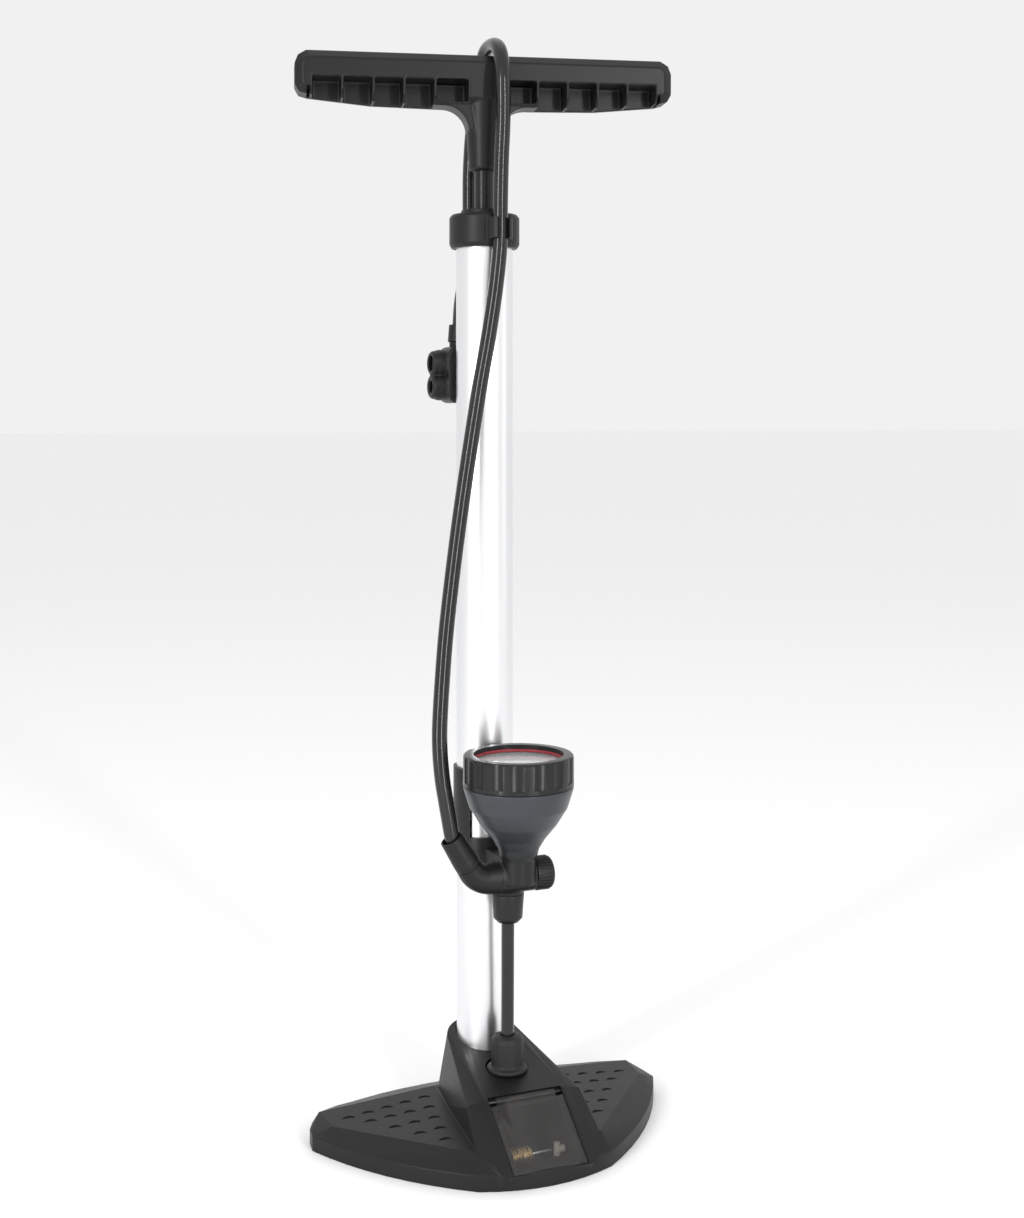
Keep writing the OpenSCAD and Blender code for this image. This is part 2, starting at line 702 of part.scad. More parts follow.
module gauge_bezel() {
    color([0.13, 0.135, 0.14]) translate([0, gauge_y, 0]) difference() {
        union() {
            translate([0, 0, bezel_z]) cylinder(r = cup_r, h = bezel_h - 1.2);
            translate([0, 0, gauge_top - 1.21]) cylinder(r1 = cup_r, r2 = cup_r - 1.2, h = 1.21);
        }
        for (a = [0 : 360 / scallops : 359]) rotate(a)
            translate([cup_r + scallop_r - scallop_depth, 0, bezel_z + 2.6]) cylinder(r = scallop_r, h = bezel_h);
        translate([0, 0, bezel_z - 1]) cylinder(r = cup_rim_r + run_gap, h = bezel_h - 1.6);
        translate([0, 0, bezel_z]) cylinder(r = cup_rim_r - 4, h = bezel_h + 2);
    }
}

module target_ring() {
    color([0.55, 0.14, 0.16]) translate([0, gauge_y, gauge_top - 4.2]) {
        hollow(cup_rim_r - 0.2, cup_rim_r - 5.2, 1.55);
        rotate(-58) translate([cup_rim_r - 9.7, -3, 0]) cube([5, 6, 2.6]);
    }
}

// ---------- long hose, its fittings and the pump head ----------

module hose_elbow() {
    color([0.07, 0.07, 0.075]) tube(smooth_path(elbow_route, 3), block_r - 0.2, [0, 1, 0], 24, elbow_end_r);
}

module hose_ferrule() {
    color([0.13, 0.13, 0.135]) translate(ferrule_base) rotate([0, -ferrule_tilt, 0]) difference() {
        union() {
            translate([0, 0, 0.2]) cylinder(r = elbow_end_r, h = 5);
            translate([0, 0, 5]) cylinder(r1 = elbow_end_r, r2 = hose_d / 2 + 2.4, h = 16.5);
        }
        translate([0, 0, 15.4]) cylinder(r = hose_d / 2 + 1.4, h = 20);
    }
}

module main_hose() { color([0.03, 0.03, 0.03]) tube(smooth_path(hose_route, 2), hose_d / 2); }

module head_ferrule() {
    color([0.13, 0.13, 0.135]) translate([head_hose_x, head_hose_y, head_z + head_h]) difference() {
        union() {
            translate([0, 0, -ferrule_sink]) cylinder(r = 6.4, h = ferrule_sink + 3);
            translate([0, 0, 2.9]) cylinder(r1 = 7.4, r2 = 6.6, h = ferrule_top - head_z - head_h - 2.9);
        }
        translate([0, 0, 7]) cylinder(r = hose_d / 2 + 0.9, h = 30);
    }
}

module head_body() {
    color([0.16, 0.165, 0.17]) difference() {
        union() {
            hull() for (x = [head_x + 12, head_x + head_len - 5], z = [head_z + 6, head_z + head_h - 6])
                translate([x, head_y + head_depth / 2, z]) rotate([90, 0, 0])
                    cylinder(r = x < 0 ? 6 : 5, h = head_depth, center = true, $fn = 32);
            port_lobes(head_x, 13);
        }
        for (z = [port_z, port_z + port_pitch]) translate([head_x - 1, head_hose_y, z]) rotate([0, 90, 0])
            cylinder(r = 6.5, h = 15);
        translate([head_hose_x, head_hose_y, head_z + head_h - ferrule_sink - seat_gap]) cylinder(r = 6.5, h = 20);
        translate([head_x + head_len - 9, head_y + 4.6, head_z - 1]) cube([20, head_depth - 9.2, head_h + 2]);
        translate([head_x + head_len - 4.5, head_y + 10, lever_axis_z]) rotate([90, 0, 0])
            cylinder(r = 1.5, h = 40, center = true);
    }
}

// Two round lobes along X, one round each port, that start at x
module port_lobes(x, len, r = 8.8) {
    for (z = [port_z, port_z + port_pitch]) translate([x, head_hose_y, z]) rotate([0, 90, 0]) {
        translate([0, 0, 1.4]) cylinder(r = r, h = len - 1.4);
        cylinder(r1 = r - 1.4, r2 = r, h = 1.41);
    }
}

// Caps that close the port side and carry the two ports
module head_cap() {
    color([0.2, 0.205, 0.21]) difference() {
        port_lobes(head_x - 3, 3, 8);
        translate([head_x - 4, head_hose_y, port_z]) rotate([0, 90, 0]) cylinder(r = narrow_port_r + 0.8, h = 6);
        translate([head_x - 4, head_hose_y, port_z + port_pitch]) rotate([0, 90, 0])
            cylinder(r = wide_port_r + 0.8, h = 6);
    }
}

module port_gaskets() {
    color([0.08, 0.08, 0.08]) for (port = [[port_z, narrow_port_r], [port_z + port_pitch, wide_port_r]])
        translate([head_x + 0.05, head_hose_y, port[0]]) rotate([0, 90, 0]) hollow(6.45, port[1], 13.8);
}

module head_lever() {
    color([0.3, 0.31, 0.32]) difference() {
        union() {
            translate([head_x + head_len - 4.5, head_y + 10, lever_axis_z]) rotate([90, 0, 0])
                cylinder(r = 4, h = head_depth - 10, center = true);
            translate([head_x + head_len - 4.5, head_y + 5, lever_axis_z - 4]) cube([10, head_depth - 10, 8]);
            translate([head_x + head_len + 2, head_y + 3, lever_axis_z + 4 - lever_len])
                cube([lever_t, head_depth - 6, lever_len]);
        }
        translate([head_x + head_len - 4.5, head_y + 10, lever_axis_z]) rotate([90, 0, 0])
            cylinder(r = 1.5 + run_gap, h = 40, center = true);
    }
}

module lever_pin() {
    color([0.6, 0.6, 0.62]) translate([head_x + head_len - 4.5, head_y + 10, lever_axis_z])
        rotate([90, 0, 0]) cylinder(r = 1.5, h = head_depth - 0.6, center = true);
}

base_shell();
base_plate();
base_screws();
grip_pads();
storage_door();
door_pin();
brass_adapter();
ball_needle();
tapered_nozzle();
barrel();
foot_plug();
check_valve();
lower_boot();
lower_hose();
collar();
rod_bushing();
piston();
piston_seal();
piston_rod();
handle();
handle_insert();
gauge_bracket();
bracket_screw();
valve_block();
socket_nut();
release_knob();
gauge_cup();
gauge_movement();
needle_post();
dial_plate();
gauge_needle();
gauge_lens();
gauge_bezel();
target_ring();
hose_elbow();
hose_ferrule();
main_hose();
head_ferrule();
head_body();
head_cap();
port_gaskets();
head_lever();
lever_pin();
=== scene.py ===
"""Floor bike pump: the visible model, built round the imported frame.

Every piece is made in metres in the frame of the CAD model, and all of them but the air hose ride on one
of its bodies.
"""

from __future__ import annotations

import logging
import math
from dataclasses import dataclass
from enum import Enum
from typing import Any, Sequence, Union

import bmesh
import bpy
from mathutils import Matrix, Vector

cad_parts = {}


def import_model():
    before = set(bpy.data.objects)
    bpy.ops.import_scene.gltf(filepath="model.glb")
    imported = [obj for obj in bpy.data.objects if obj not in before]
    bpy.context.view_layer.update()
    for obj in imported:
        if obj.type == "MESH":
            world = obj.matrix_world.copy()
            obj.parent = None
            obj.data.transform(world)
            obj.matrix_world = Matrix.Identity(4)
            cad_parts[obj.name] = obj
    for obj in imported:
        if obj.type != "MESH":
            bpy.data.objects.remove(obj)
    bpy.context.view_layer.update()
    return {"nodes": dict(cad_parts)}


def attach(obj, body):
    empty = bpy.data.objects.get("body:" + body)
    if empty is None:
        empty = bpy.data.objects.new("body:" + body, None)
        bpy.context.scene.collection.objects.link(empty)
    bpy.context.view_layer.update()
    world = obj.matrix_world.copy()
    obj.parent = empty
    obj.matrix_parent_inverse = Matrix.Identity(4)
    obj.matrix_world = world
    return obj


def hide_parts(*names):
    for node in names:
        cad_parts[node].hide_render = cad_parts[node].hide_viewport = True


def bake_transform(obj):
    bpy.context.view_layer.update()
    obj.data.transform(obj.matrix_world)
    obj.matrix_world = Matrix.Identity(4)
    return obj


LOG = logging.getLogger("floor_pump")
MM = 0.001
FRAME: dict[str, Any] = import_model()
Point = tuple[float, float, float]
Colour = tuple[float, float, float]


class Body(Enum):
    """The rigid bodies that pieces ride on."""

    BASE = "base"
    PISTON = "piston"
    HANDLE = "handle"
    DOOR = "door"
    BEZEL = "bezel"
    NEEDLE = "needle"
    KNOB = "knob"
    LEVER = "lever"


class Axis(Enum):
    """The row axis that a turned piece spins about."""

    X = "X"
    Y = "Y"
    Z = "Z"


# ---------- shader graphs ----------


class Wire:
    """A shader socket that can stand in an expression: each operator adds a Math node."""

    def __init__(self, tree: bpy.types.NodeTree, socket: bpy.types.NodeSocket) -> None:
        """Wrap a socket.

        Args:
            tree: The node tree that holds the socket.
            socket: The output socket to wrap.
        """
        self.tree = tree
        self.socket = socket

    def _math(self, operation: str, first: Value, second: Value, clamp: bool = False) -> Wire:
        """Add one Math node.

        Args:
            operation: The Math node's operation.
            first: The first operand.
            second: The second operand.
            clamp: Whether the result is held between 0 and 1.

        Returns:
            The node's result.
        """
        node = self.tree.nodes.new("ShaderNodeMath")
        node.operation = operation
        node.use_clamp = clamp
        for slot, value in zip(node.inputs, (first, second)):
            connect(self.tree, slot, value)
        return Wire(self.tree, node.outputs[0])

    def __add__(self, other: Value) -> Wire:
        """Sum of this wire and another value."""
        return self._math("ADD", self, other)

    def __radd__(self, other: Value) -> Wire:
        """Sum of another value and this wire."""
        return self._math("ADD", other, self)

    def __sub__(self, other: Value) -> Wire:
        """This wire less another value."""
        return self._math("SUBTRACT", self, other)

    def __rsub__(self, other: Value) -> Wire:
        """Another value less this wire."""
        return self._math("SUBTRACT", other, self)

    def __mul__(self, other: Value) -> Wire:
        """Product of this wire and another value."""
        return self._math("MULTIPLY", self, other)

    def __rmul__(self, other: Value) -> Wire:
        """Product of another value and this wire."""
        return self._math("MULTIPLY", other, self)

    def clamped(self) -> Wire:
        """This wire held between 0 and 1."""
        return self._math("ADD", self, 0.0, clamp=True)


Value = Union[Wire, float, Sequence[float]]


def connect(tree: bpy.types.NodeTree, slot: bpy.types.NodeSocket, value: Value) -> None:
    """Link a wire to an input, or set the input's own value.

    Args:
        tree: The tree that holds the input.
        slot: The input socket.
        value: A wire, a number, or a colour or vector.
    """
    if isinstance(value, Wire):
        tree.links.new(value.socket, slot)
    elif isinstance(value, (int, float, str, bool)):
        slot.default_value = value
    else:
        wanted = len(slot.default_value)
        slot.default_value = (*value, 1.0)[:wanted]


class Graph:
    """A material's node tree, with one Principled shader at its end."""

    def __init__(self, name: str) -> None:
        """Start an empty material.

        Args:
            name: The material's name.
        """
        self.material = bpy.data.materials.new(name)
        self.material.use_nodes = True
        self.tree = self.material.node_tree
        self.tree.nodes.clear()

    def node(self, kind: str, settings: dict[str, Any] | None = None, output: str | int = 0,
             **inputs: Value) -> Wire:
        """Add a node of any type.

        Args:
            kind: The node's type.
            settings: Attributes to set on the node before its inputs.
            output: The name or number of the output to return.
            inputs: Values by input name, with spaces as underscores.

        Returns:
            The chosen output.
        """
        made = self.tree.nodes.new(kind)
        for key, value in (settings or {}).items():
            setattr(made, key, value)
        for key, value in inputs.items():
            connect(self.tree, made.inputs[key.replace("_", " ")], value)
        return Wire(self.tree, made.outputs[output])

    def place(self) -> Wire:
        """Object coordinates, in metres."""
        return self.node("ShaderNodeTexCoord", output="Object")

    def stretched(self, scale: Point) -> Wire:
        """Object coordinates scaled by different amounts along the three axes.

        Args:
            scale: The three factors.

        Returns:
            The scaled coordinates.
        """
        return self.node("ShaderNodeMapping", Vector=self.place(), Scale=scale)

    def noise(self, size: float, detail: float = 3.0, at: Wire | None = None) -> Wire:
        """Fractal noise from 0 to 1.

        Args:
            size: The width of its lumps, in metres.
            detail: The number of finer layers.
            at: Coordinates, or None for the object's own.

        Returns:
            The noise.
        """
        return self.node("ShaderNodeTexNoise", Vector=at or self.place(), Scale=1.0 / size,
                         Detail=detail, Roughness=0.55)

    def blend(self, factor: Value, low: Value, high: Value) -> Wire:
        """A mix of two colours.

        Args:
            factor: 0 gives the first, 1 the second.
            low: The first colour.
            high: The second colour.

        Returns:
            The mixed colour.
        """
        made = self.tree.nodes.new("ShaderNodeMix")
        made.data_type = "RGBA"
        connect(self.tree, made.inputs[0], factor)
        connect(self.tree, made.inputs[6], low)
        connect(self.tree, made.inputs[7], high)
        return Wire(self.tree, made.outputs[2])

    def bump(self, height: Wire, depth: float, strength: float = 1.0) -> Wire:
        """Normals from a height.

        Args:
            height: The height, from 0 to 1.
            depth: The real depth of the relief, in metres.
            strength: How much of it shows.

        Returns:
            The normal.
        """
        return self.node("ShaderNodeBump", Height=height, Distance=depth, Strength=strength)

    def finish(self, **inputs: Value) -> bpy.types.Material:
        """Close the graph with a Principled shader.

        Args:
            inputs: The shader's inputs, with spaces as underscores.

        Returns:
            The finished material.
        """
        shader = self.node("ShaderNodeBsdfPrincipled", **inputs)
        end = self.tree.nodes.new("ShaderNodeOutputMaterial")
        self.tree.links.new(shader.socket, end.inputs["Surface"])
        return self.material


def shade(colour: Colour, factor: float) -> Colour:
    """A colour made darker or lighter.

    Args:
        colour: The colour.
        factor: Its multiplier.

    Returns:
        The changed colour.
    """
    return tuple(min(1.0, c * factor) for c in colour)


@dataclass(frozen=True)
class MouldedPlastic:
    """Injection-moulded plastic: a fine spark-eroded grain, faint flow marks, and an optional darker foot
    colour faded in by height as painted shade on a piece's lower side.
    """

    name: str
    colour: Colour
    roughness: float = 0.5
    grain: float = 0.35 * MM
    relief: float = 0.03 * MM
    variation: float = 0.18
    foot: Colour | None = None
    painted_shade_band: tuple[float, float] = (0.0, 1.0)

    def build(self) -> bpy.types.Material:
        """Make the material."""
        g = Graph(self.name)
        flow = g.noise(26 * MM, 2.0, g.stretched((1.0, 1.0, 0.45)))
        scuff = g.noise(3.5 * MM, 4.0)
        grain = g.noise(self.grain, 2.0)
        tint = (flow * 0.6 + scuff * 0.4).clamped()
        rough = self.roughness - 0.09 + flow * 0.1 + scuff * 0.08
        colour = g.blend(tint, shade(self.colour, 1 - self.variation),
                         shade(self.colour, 1 + self.variation))
        # Painted shade: below the given height band the colour fades to the foot colour, darkening the
        # piece's lower side; on the gauge housing the fully dark foot is also the valve block's own
        # darker plastic.
        if self.foot is not None:
            low, high = self.painted_shade_band
            height = g.node("ShaderNodeSeparateXYZ", output="Z", Vector=g.place())
            colour = g.blend(((height - low) * (1.0 / (high - low))).clamped(), self.foot, colour)
        return g.finish(Base_Color=colour, Roughness=rough, Normal=g.bump(grain, self.relief), IOR=1.34)


@dataclass(frozen=True)
class PolishedTube:
    """Drawn aluminium, polished and clear anodised, with faint lengthwise draw lines."""

    name: str
    colour: Colour = (0.86, 0.865, 0.875)
    roughness: float = 0.3

    def build(self) -> bpy.types.Material:
        """Make the material."""
        g = Graph(self.name)
        lines = g.noise(0.35 * MM, 3.0, g.stretched((1.0, 1.0, 0.004)))
        haze = g.noise(30 * MM, 3.0, g.stretched((1.0, 1.0, 0.3)))
        return g.finish(
            Base_Color=g.blend(haze, shade(self.colour, 0.97), shade(self.colour, 1.03)),
            Metallic=1.0, Roughness=self.roughness - 0.03 + haze * 0.06 + lines * 0.03,
            Normal=g.bump(lines, 0.004 * MM, 0.5))


@dataclass(frozen=True)
class Metal:
    """A small machined or plated metal piece."""

    name: str
    colour: Colour
    roughness: float = 0.28

    def build(self) -> bpy.types.Material:
        """Make the material."""
        g = Graph(self.name)
        wear = g.noise(1.6 * MM, 4.0)
        fine = g.noise(0.15 * MM, 2.0)
        return g.finish(
            Base_Color=g.blend(wear, shade(self.colour, 0.85), shade(self.colour, 1.08)),
            Metallic=1.0, Roughness=self.roughness - 0.06 + wear * 0.14,
            Normal=g.bump(fine, 0.01 * MM, 0.6))


@dataclass(frozen=True)
class Rubber:
    """Extruded or moulded rubber, from matt to glossy."""

    name: str
    colour: Colour = (0.008, 0.008, 0.008)
    roughness: float = 0.14
    coat: float = 0.3

    def build(self) -> bpy.types.Material:
        """Make the material."""
        g = Graph(self.name)
        dust = g.noise(7 * MM, 4.0)
        skin = g.noise(0.8 * MM, 3.0)
        return g.finish(
            Base_Color=g.blend(dust, self.colour, shade(self.colour, 1.7)),
            Roughness=self.roughness - 0.01 + dust * 0.03, Normal=g.bump(skin, 0.001 * MM, 0.3),
            Coat_Weight=self.coat, Coat_Roughness=0.08, IOR=1.34)


@dataclass(frozen=True)
class ClearPlastic:
    """Transparent plastic, clear or smoked."""

    name: str
    colour: Colour
    roughness: float = 0.06
    alpha: float = 1.0
    clear: float = 1.0

    def build(self) -> bpy.types.Material:
        """Make the material."""
        g = Graph(self.name)
        smear = g.noise(9 * MM, 3.0)
        return g.finish(
            Base_Color=g.blend(smear, shade(self.colour, 0.93), shade(self.colour, 1.05)),
            Roughness=self.roughness - 0.02 + smear * 0.05, Transmission_Weight=self.clear, IOR=1.6,
            Alpha=self.alpha)


@dataclass(frozen=True)
class Finishes:
    """Every material of the pump, made once."""

    shell: bpy.types.Material
    handle: bpy.types.Material
    grey: bpy.types.Material
    cup: bpy.types.Material
    bezel: bpy.types.Material
    head: bpy.types.Material
    tube: bpy.types.Material
    rod: bpy.types.Material
    steel: bpy.types.Material
    dark_steel: bpy.types.Material
    brass: bpy.types.Material
    rubber: bpy.types.Material
    hose: bpy.types.Material
    red_rubber: bpy.types.Material
    red: bpy.types.Material
    nylon: bpy.types.Material
    dial: bpy.types.Material
    ink: bpy.types.Material
    lens: bpy.types.Material
    smoked: bpy.types.Material

    @staticmethod
    def make() -> Finishes:
        """Build all materials."""
        return Finishes(
            shell=MouldedPlastic("shell_plastic", (0.0085, 0.0085, 0.009), 0.42).build(),
            handle=MouldedPlastic("handle_plastic", (0.0075, 0.0075, 0.008), 0.38).build(),
            grey=MouldedPlastic("grey_plastic", (0.0125, 0.013, 0.0138), 0.38).build(),
            # Gauge housing: the darker foot colour, faded in between 178 and 206 mm, is painted shade on
            # the cup's lower cone; below that band it is the valve block's own darker plastic.
            cup=MouldedPlastic("cup_plastic", (0.040, 0.0445, 0.0495), 0.31, relief=0.015 * MM,
                               foot=(0.010, 0.0105, 0.011), painted_shade_band=(0.178, 0.206)).build(),
            bezel=MouldedPlastic("bezel_plastic", (0.013, 0.0133, 0.014), 0.27, relief=0.01 * MM).build(),
            head=MouldedPlastic("head_plastic", (0.008, 0.008, 0.0085), 0.4).build(),
            tube=PolishedTube("barrel_aluminium").build(),
            rod=MouldedPlastic("rod_black", (0.012, 0.012, 0.013), 0.26, relief=0.004 * MM).build(),
            steel=Metal("bright_steel", (0.62, 0.62, 0.63)).build(),
            dark_steel=Metal("blackened_steel", (0.05, 0.05, 0.052), 0.4).build(),
            brass=Metal("turned_brass", (0.90, 0.68, 0.36), 0.36).build(),
            rubber=Rubber("moulded_rubber", (0.012, 0.012, 0.0125), 0.5, 0.0).build(),
            hose=Rubber("hose_rubber").build(),
            red_rubber=Rubber("valve_rubber", (0.35, 0.05, 0.04), 0.5, 0.0).build(),
            red=MouldedPlastic("red_plastic", (0.27, 0.035, 0.045), 0.34, relief=0.01 * MM).build(),
            nylon=MouldedPlastic("pale_nylon", (0.62, 0.58, 0.50), 0.4, relief=0.01 * MM).build(),
            dial=MouldedPlastic("dial_card", (0.90, 0.90, 0.89), 0.5, relief=0.004 * MM,
                                variation=0.03).build(),
            ink=MouldedPlastic("dial_ink", (0.02, 0.02, 0.022), 0.5, relief=0.004 * MM).build(),
            # Lens: the near-white base colour at part alpha, without transmission, is a painted
            # reflection of the bright surroundings seen at a grazing angle.
            lens=ClearPlastic("clear_lens", (0.95, 0.95, 0.96), 0.05, 0.6, 0.0).build(),
            smoked=ClearPlastic("smoked_plastic", (0.055, 0.052, 0.05), 0.07, 0.34, 0.0).build())


# ---------- geometry trees ----------


class GeoTree:
    """A Geometry Nodes tree that ends as one real mesh with a material."""

    def __init__(self, name: str) -> None:
        """Start an empty tree.

        Args:
            name: The tree's name.
        """
        self.tree = bpy.data.node_groups.new(name, "GeometryNodeTree")
        self.tree.interface.new_socket("Geometry", in_out="INPUT", socket_type="NodeSocketGeometry")
        self.tree.interface.new_socket("Geometry", in_out="OUTPUT", socket_type="NodeSocketGeometry")
        self.start = self.tree.nodes.new("NodeGroupInput")
        self.values: dict[str, Any] = {}

    def size(self, name: str, value: float, whole: bool = False) -> Wire:
        """Add a named input.

        Args:
            name: The input's name.
            value: Its value for this piece.
            whole: Whether it is a whole number.

        Returns:
            The input as a wire.
        """
        kind = "NodeSocketInt" if whole else "NodeSocketFloat"
        item = self.tree.interface.new_socket(name, in_out="INPUT", socket_type=kind)
        self.values[item.identifier] = value
        return Wire(self.tree, next(o for o in self.start.outputs if o.identifier == item.identifier))

    def source(self) -> Wire:
        """The geometry that the tree starts from."""
        return Wire(self.tree, self.start.outputs[0])

    def node(self, kind: str, settings: dict[str, Any] | None = None, output: str | int = 0,
             **inputs: Value) -> Wire:
        """Add a node of any type.

        Args:
            kind: The node's type.
            settings: Attributes to set before its inputs.
            output: The output to return.
            inputs: Values by input name, with spaces as underscores.

        Returns:
            The chosen output.
        """
        made = self.tree.nodes.new(kind)
        for key, value in (settings or {}).items():
            setattr(made, key, value)
        for key, value in inputs.items():
            connect(self.tree, made.inputs[key.replace("_", " ")], value)
        return Wire(self.tree, made.outputs[output])

    def grow(self, name: str, geometry: Wire, material: bpy.types.Material,
             start: bpy.types.Object | None = None) -> bpy.types.Object:
        """Close the tree, run it once and keep its result as a plain mesh.

        Args:
            name: The new piece's name.
            geometry: The wire that carries the shape.
            material: The piece's material.
            start: The object whose geometry the tree works on, or None.

        Returns:
            The new piece.
        """
        real = self.node("GeometryNodeRealizeInstances", Geometry=geometry)
        smooth = self.node("GeometryNodeSetShadeSmooth", Geometry=real)
        dressed = self.node("GeometryNodeSetMaterial", Geometry=smooth)
        dressed.socket.node.inputs["Material"].default_value = material
        end = self.tree.nodes.new("NodeGroupOutput")
        self.tree.links.new(dressed.socket, end.inputs[0])
        host = start or link(bpy.data.objects.new(name + "_start", bpy.data.meshes.new(name)))
        modifier = host.modifiers.new("grow", "NODES")
        modifier.node_group = self.tree
        for key, value in self.values.items():
            modifier[key] = value
        mesh = evaluated_mesh(host)
        mesh.materials.clear()
        mesh.materials.append(material)
        piece = link(bpy.data.objects.new(name, mesh))
        bpy.data.objects.remove(host)
        return piece


# ---------- mesh helpers ----------


def link(obj: bpy.types.Object) -> bpy.types.Object:
    """Put an object in the scene."""
    bpy.context.scene.collection.objects.link(obj)
    return obj


def evaluated_mesh(obj: bpy.types.Object) -> bpy.types.Mesh:
    """The mesh that an object's modifiers give."""
    bpy.context.view_layer.update()
    graph = bpy.context.evaluated_depsgraph_get()
    return bpy.data.meshes.new_from_object(obj.evaluated_get(graph))


def sharpen(mesh: bpy.types.Mesh, angle: float = 38.0) -> None:
    """Shade a mesh smooth, with creases where it turns sharply.

    Args:
        mesh: The mesh.
        angle: The least angle of a crease, in degrees.
    """
    mesh.shade_smooth()
    mesh.set_sharp_from_angle(angle=math.radians(angle))


def new_piece(name: str, mesh: bpy.types.Mesh, material: bpy.types.Material) -> bpy.types.Object:
    """A linked object with one material.

    Args:
        name: The piece's name.
        mesh: Its mesh.
        material: Its material.

    Returns:
        The object.
    """
    mesh.materials.clear()
    mesh.materials.append(material)
    return link(bpy.data.objects.new(name, mesh))


def merged_copy(nodes: Sequence[str], dissolve: bool = True) -> bpy.types.Mesh:
    """One clean mesh from copies of CAD nodes.

    Args:
        nodes: The nodes' names.
        dissolve: Whether flat neighbouring faces are joined.

    Returns:
        The mesh.
    """
    shape = bmesh.new()
    for node in nodes:
        shape.from_mesh(FRAME["nodes"][node].data)
    bmesh.ops.remove_doubles(shape, verts=shape.verts, dist=0.004 * MM)
    if dissolve:
        bmesh.ops.dissolve_limit(shape, angle_limit=math.radians(0.6), verts=shape.verts,
                                 edges=shape.edges)
    mesh = bpy.data.meshes.new(nodes[0])
    shape.to_mesh(mesh)
    shape.free()
    return mesh


def mark_long_edges(mesh: bpy.types.Mesh, angle: float, least: float) -> None:
    """Give the long, sharp edges of a mesh a bevel weight.

    Args:
        mesh: The mesh.
        angle: The least angle of such an edge, in degrees.
        least: Its least length, in metres.
    """
    shape = bmesh.new()
    shape.from_mesh(mesh)
    weight = shape.edges.layers.float.new("bevel_weight_edge")
    for edge in shape.edges:
        turn = edge.calc_face_angle(0.0)
        edge[weight] = 1.0 if turn > math.radians(angle) and edge.calc_length() > least else 0.0
    shape.to_mesh(mesh)
    shape.free()


def edged(name: str, nodes: Sequence[str], material: bpy.types.Material, width: float = 0.4 * MM,
          angle: float = 40.0, crease: float = 38.0, least: float = 0.0) -> bpy.types.Object:
    """A copy of CAD nodes whose sharp edges are broken by a small round.

    Args:
        name: The piece's name.
        nodes: The nodes that it copies and replaces.
        material: Its material.
        width: The width of the round, in metres.
        angle: The least angle of an edge that is rounded, in degrees.
        crease: The least angle of a crease in the shading, in degrees.
        least: The least length of an edge that is rounded, or 0 for every sharp edge.

    Returns:
        The piece.
    """
    host = link(bpy.data.objects.new(name + "_start", merged_copy(nodes)))
    bevel = host.modifiers.new("round", "BEVEL")
    bevel.width = width
    bevel.segments = 2
    bevel.angle_limit = math.radians(angle)
    bevel.limit_method = "ANGLE"
    if least:
        mark_long_edges(host.data, angle, least)
        bevel.limit_method = "WEIGHT"
        bevel.use_clamp_overlap = False
    host.data = evaluated_mesh(host)
    host.modifiers.clear()
    sharpen(host.data, crease)
    if least:
        level = host.modifiers.new("level", "WEIGHTED_NORMAL")
        level.keep_sharp = True
        host.data = evaluated_mesh(host)
        host.modifiers.clear()
    mesh = host.data
    bpy.data.objects.remove(host)
    return new_piece(name, mesh, material)


def moulded(name: str, nodes: Sequence[str], material: bpy.types.Material, voxel: float,
            passes: int = 4, keep: float = 0.5) -> bpy.types.Object:
    """A copy of CAD nodes melted together, with every edge and inner corner rounded as in a mould.

    Args:
        name: The piece's name.
        nodes: The nodes that it copies.
        material: Its material.
        voxel: The size of the remesh's cells, in metres.
        passes: The number of smoothing passes.
        keep: The share of its faces that is kept.

    Returns:
        The piece.
    """
    host = link(bpy.data.objects.new(name + "_start", merged_copy(nodes, dissolve=False)))
    melt = host.modifiers.new("melt", "REMESH")
    melt.mode = "VOXEL"
    melt.voxel_size = voxel * 1.0
    melt.use_smooth_shade = True
    relax = host.modifiers.new("relax", "SMOOTH")
    relax.factor = 0.5
    relax.iterations = passes
    thin = host.modifiers.new("thin", "DECIMATE")
    thin.ratio = keep
    mesh = evaluated_mesh(host)
    bpy.data.objects.remove(host)
    mesh.shade_smooth()
    return new_piece(name, mesh, material)


def turned(name: str, outline: Sequence[tuple[float, float]], centre: Point, axis: Axis,
           material: bpy.types.Material, steps: int = 96, closed: bool = True,
           crease: float = 38.0) -> bpy.types.Object:
    """A piece turned on a lathe.

    Args:
        name: The piece's name.
        outline: Radius and height pairs, in metres, anticlockwise so that faces point out.
        centre: The point that heights are counted from.
        axis: The axis of the lathe.
        material: Its material.
        steps: The number of steps round.
        closed: Whether the outline's last point joins its first.
        crease: The least angle of a crease, in degrees.

    Returns:
        The piece.
    """
    shape = bmesh.new()
    rings = []
    for radius, height in outline:
        if radius < 1e-7:
            rings.append([shape.verts.new((0, 0, height))])
        else:
            rings.append([shape.verts.new((radius * math.cos(2 * math.pi * k / steps),
                                           radius * math.sin(2 * math.pi * k / steps), height))
                          for k in range(steps)])
    pairs = list(zip(rings, rings[1:]))
    if closed and len(rings[0]) > 1 and len(rings[-1]) > 1:
        pairs.append((rings[-1], rings[0]))
    for low, high in pairs:
        for k in range(steps):
            corners = [low[k % len(low)], low[(k + 1) % len(low)],
                       high[(k + 1) % len(high)], high[k % len(high)]]
            unique = list(dict.fromkeys(corners))
            if len(unique) > 2:
                shape.faces.new(unique)
    bmesh.ops.recalc_face_normals(shape, faces=shape.faces)
    turn = {Axis.Z: Matrix.Identity(4), Axis.X: Matrix.Rotation(math.pi / 2, 4, "Y"),
            Axis.Y: Matrix.Rotation(-math.pi / 2, 4, "X")}[axis]
    shape.transform(Matrix.Translation(centre) @ turn)
    mesh = bpy.data.meshes.new(name)
    shape.to_mesh(mesh)
    shape.free()
    sharpen(mesh, crease)
    return new_piece(name, mesh, material)


